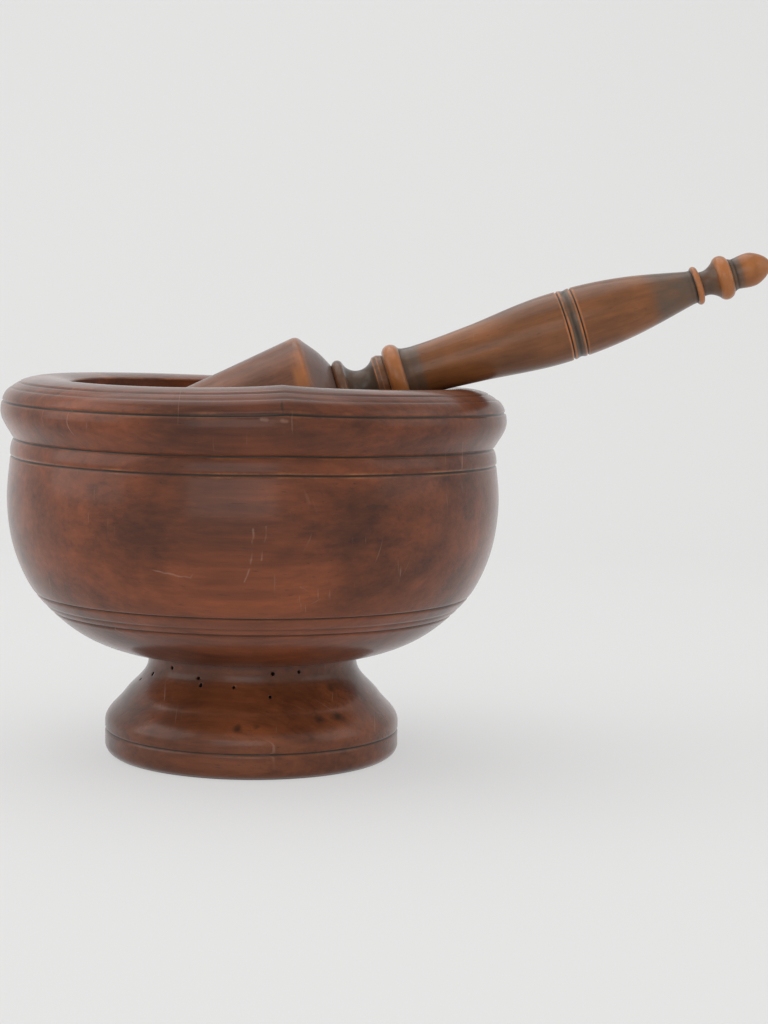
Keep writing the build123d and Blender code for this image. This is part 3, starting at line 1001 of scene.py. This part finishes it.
class MORTAR_OT_head(Operator):
    """Turn the pestle's tapered grinding head, lying in the bowl"""
    bl_idname = "mortar.head"
    bl_label = "Pestle head"

    def execute(self, context):
        sizes, finish = context.scene.pestle_sizes, context.scene.mortar_finish
        piece = turn("head", head_outline(sizes), sizes.around, pestle_place(sizes), head_shape)
        material = wood(
            "worn_head_wood", finish.head_dark, finish.head_light, (0, PESTLE_LEAN, 0), (0.9, 1.2),
            roughness=0.38, coat=0.55, extra=head_details, streak_length=1.4,
        )
        finish_piece(piece, "pestle", "pestle_head", material)
        return {"FINISHED"}


class MORTAR_OT_handle(Operator):
    """Turn the pestle's handle, with its beads, grip, band and finial"""
    bl_idname = "mortar.handle"
    bl_label = "Pestle handle"

    def execute(self, context):
        sizes, finish = context.scene.pestle_sizes, context.scene.mortar_finish
        outline, place = handle_outline(sizes), pestle_place(sizes)
        piece = turn("handle", outline, sizes.around, place, handle_shape, 1.6 * MM)
        material = wood(
            "polished_handle_wood", finish.handle_dark, finish.handle_light, (0, PESTLE_LEAN, 0), (1.3, 1.3),
            roughness=0.33, coat=0.60, extra=handle_details, streak_length=1.2,
        )
        finish_piece(piece, "pestle", "pestle_handle", material)
        return {"FINISHED"}


class MORTAR_OT_stage(Operator):
    """Lay the pale sweep, the soft lights and the camera"""
    bl_idname = "mortar.stage"
    bl_label = "Stage"

    def execute(self, context):
        scene = context.scene
        scene.view_settings.view_transform = "Standard"
        self.sweep()
        self.lights(scene)
        self.camera(scene)
        return {"FINISHED"}

    @staticmethod
    def sweep():
        """A floor that curves up into a backdrop."""
        near, far, bend, half, height = -1.6, 1.5, 0.7, 3.2, 3.0
        line = [Vector((0, near, 0)), Vector((0, far - bend, 0))]
        bend_steps = 24
        for step in range(1, bend_steps + 1):
            angle = pi / 2 * step / bend_steps
            line.append(Vector((0, far - bend + bend * sin(angle), bend - bend * cos(angle))))
        line.append(Vector((0, far, height)))
        mesh = bpy.data.meshes.new("sweep")
        corners = [(x, point.y, point.z) for point in line for x in (-half, half)]
        faces = [(2 * i, 2 * i + 1, 2 * i + 3, 2 * i + 2) for i in range(len(line) - 1)]
        mesh.from_pydata(corners, [], faces)
        mesh.shade_smooth()
        material = bpy.data.materials.new("pale_sweep")
        material.use_nodes = True
        nodes = Nodes(material.node_tree)
        shader = nodes.tree.nodes["Principled BSDF"]
        place = nodes.add("ShaderNodeTexCoord").outputs["Object"]
        cloud = nodes.span(nodes.noise(place, 2.0, 2.0), 0.3, 0.7)
        paper = nodes.mix(cloud, (0.78, 0.78, 0.78, 1), (0.80, 0.80, 0.80, 1))
        nodes.feed(shader.inputs["Base Color"], paper)
        shader.inputs["Roughness"].default_value = 0.9
        shader.inputs["Specular IOR Level"].default_value = 0.1
        rays = nodes.add("ShaderNodeLightPath").outputs
        seen = nodes.maths("MAXIMUM", rays["Is Camera Ray"], rays["Is Glossy Ray"])
        seen = nodes.maths("MAXIMUM", seen, rays["Is Transmission Ray"])
        glow = nodes.add("ShaderNodeEmission", {"Color": (0.745, 0.745, 0.745, 1), "Strength": 1.0})
        glow_share = nodes.maths("MULTIPLY", seen, 0.68)
        blend = nodes.add("ShaderNodeMixShader", {0: glow_share, 1: shader.outputs[0], 2: glow.outputs[0]})
        nodes.feed(nodes.tree.nodes["Material Output"].inputs["Surface"], blend.outputs[0])
        sweep = bpy.data.objects.new("sweep", mesh)
        bpy.context.scene.collection.objects.link(sweep)
        mesh.materials.append(material)

    @staticmethod
    def lights(scene):
        world = bpy.data.worlds.new("soft_room")
        scene.world = world
        world.use_nodes = True
        backdrop = world.node_tree.nodes["Background"]
        backdrop.inputs["Color"].default_value = (1.0, 0.985, 0.96, 1)
        backdrop.inputs["Strength"].default_value = 0.70
        for name, place, aim, size, watts in (
            ("top_softbox", (-0.25, 0.25, 1.5), (0, 0, 0.1), 1.5, 9.0),
            ("left_softbox", (-1.3, -0.3, 0.7), (0, 0, 0.1), 1.2, 5.5),
            ("right_softbox", (1.4, -0.3, 0.7), (0, 0, 0.1), 1.0, 2.5),
            ("low_softbox", (-0.2, -1.7, 0.35), (0, 0, 0.06), 1.2, 6.0),
        ):
            lamp = bpy.data.lights.new(name, "AREA")
            lamp.shape, lamp.size, lamp.energy = "SQUARE", size, watts
            holder = bpy.data.objects.new(name, lamp)
            holder.location = place
            holder.rotation_euler = (Vector(aim) - Vector(place)).to_track_quat("-Z", "Y").to_euler()
            scene.collection.objects.link(holder)

    @staticmethod
    def camera(scene):
        """A long lens a little above the rim, looking slightly down, with a trace of roll."""
        place, pitch, roll = (0.05603, -0.86139, 0.18039), radians(4.96), radians(0.957)
        camera = bpy.data.cameras.new("camera")
        camera.sensor_fit, camera.sensor_height, camera.lens = "VERTICAL", 36.0, 70.27
        holder = bpy.data.objects.new("camera", camera)
        forward = Vector((0, cos(pitch), -sin(pitch)))
        level = Vector((1, 0, 0))
        upward = level.cross(forward)
        right = cos(roll) * level + sin(roll) * upward
        upward = right.cross(forward)
        axes = Matrix((right, upward, -forward)).transposed().to_4x4()
        holder.matrix_world = Matrix.Translation(place) @ axes
        scene.collection.objects.link(holder)
        scene.camera = holder


class MORTAR_PT_panel(Panel):
    """Lists the settings and the pieces"""
    bl_label = "Mortar and pestle"
    bl_idname = "MORTAR_PT_panel"
    bl_space_type = "VIEW_3D"
    bl_region_type = "UI"
    bl_category = "Mortar"

    def draw(self, context):
        layout = self.layout
        for name in SETTINGS:
            settings = getattr(context.scene, name)
            for key in settings.__annotations__:
                layout.prop(settings, key)
        for operator in PIECES:
            layout.operator(operator.bl_idname)


SETTINGS = {"mortar_sizes": MortarSizes, "pestle_sizes": PestleSizes, "mortar_finish": FinishSettings}
PIECES = (MORTAR_OT_stage, MORTAR_OT_bowl, MORTAR_OT_foot, MORTAR_OT_head, MORTAR_OT_handle)


def register():
    for kind in (*SETTINGS.values(), *PIECES, MORTAR_PT_panel):
        bpy.utils.register_class(kind)
    for name, kind in SETTINGS.items():
        setattr(bpy.types.Scene, name, PointerProperty(type=kind))


def unregister():
    for name in SETTINGS:
        delattr(bpy.types.Scene, name)
    for kind in reversed((*SETTINGS.values(), *PIECES, MORTAR_PT_panel)):
        bpy.utils.unregister_class(kind)


def main():
    register()
    tools = bpy.ops.mortar
    for operator in (tools.stage, tools.bowl, tools.foot, tools.head, tools.handle):
        if operator() != {"FINISHED"}:
            raise RuntimeError("a piece was not finished")


if __name__ == "__main__":
    main()
